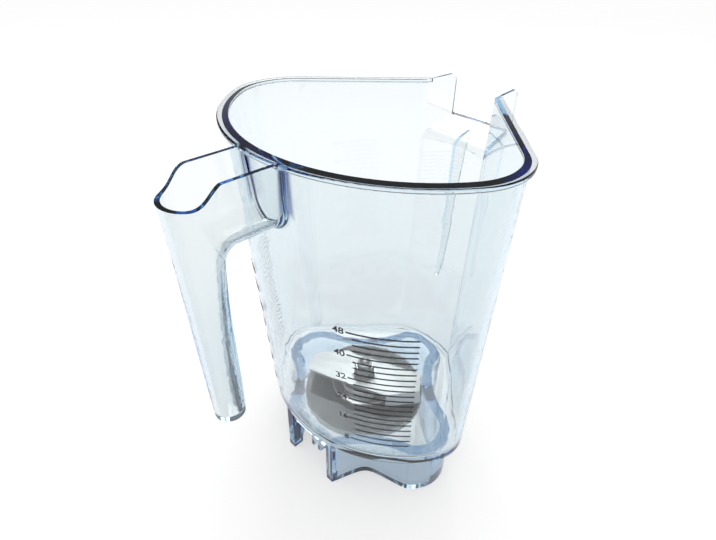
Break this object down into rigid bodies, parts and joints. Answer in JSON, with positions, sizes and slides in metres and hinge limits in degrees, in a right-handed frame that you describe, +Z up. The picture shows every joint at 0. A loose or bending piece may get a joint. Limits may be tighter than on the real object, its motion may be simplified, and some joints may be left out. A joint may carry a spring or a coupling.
{
  "type": "blender jar",
  "caption": "Clear open-topped blender jar with a hollow side handle, pouring spout and lobed skirt, and a spinning blade on a bearing unit in its floor.",
  "frame": {"origin": "on the blade axis at the plane of the feet", "axes": "+Z up along the blade axis, +X to the pouring spout, handle at -X"},
  "size_m": [0.2204, 0.1826, 0.235],
  "materials": {
    "clear_plastic": "clear, glossy, faint blue in thick sections",
    "blade_steel": "brushed stainless",
    "bearing_steel": "ground and polished",
    "machined_steel": "turned",
    "housing_steel": "turned stainless",
    "black_plastic": "satin black",
    "black_rubber": "matt black"
  },
  "bodies": {
    "jar_body": {"jar": "clear_plastic", "bearing_housing": "housing_steel", "housing_gasket": "black_rubber", "retainer_nut": "black_plastic", "shaft_seal": "black_rubber", "upper_outer_race": "bearing_steel", "lower_outer_race": "bearing_steel", "outer_spacer": "machined_steel", "preload_washer": "machined_steel", "housing_circlip": "machined_steel"},
    "rotor": {"blade": "blade_steel", "cap_nut": "blade_steel", "upper_blade_washer": "blade_steel", "lower_blade_washer": "blade_steel", "slinger": "machined_steel", "shaft": "machined_steel", "upper_inner_race": "bearing_steel", "lower_inner_race": "bearing_steel", "inner_spacer": "machined_steel", "drive_spline": "machined_steel"},
    "ball_set": {"upper_balls": "bearing_steel", "upper_cage": "machined_steel", "lower_balls": "bearing_steel", "lower_cage": "machined_steel"}
  },
  "joints": [
    {"name": "blade_spin", "type": "hinge", "parent": "jar_body", "child": "rotor", "pos_m": [0, 0, 0.04], "axis": [0, 0, 1], "continuous": true},
    {"name": "ball_drift", "type": "hinge", "parent": "jar_body", "child": "ball_set", "pos_m": [0, 0, 0.04], "axis": [0, 0, 1], "continuous": true}
  ],
  "couplings": [
    {"joint": "ball_drift", "follows": "blade_spin", "ratio": 0.3709}
  ]
}
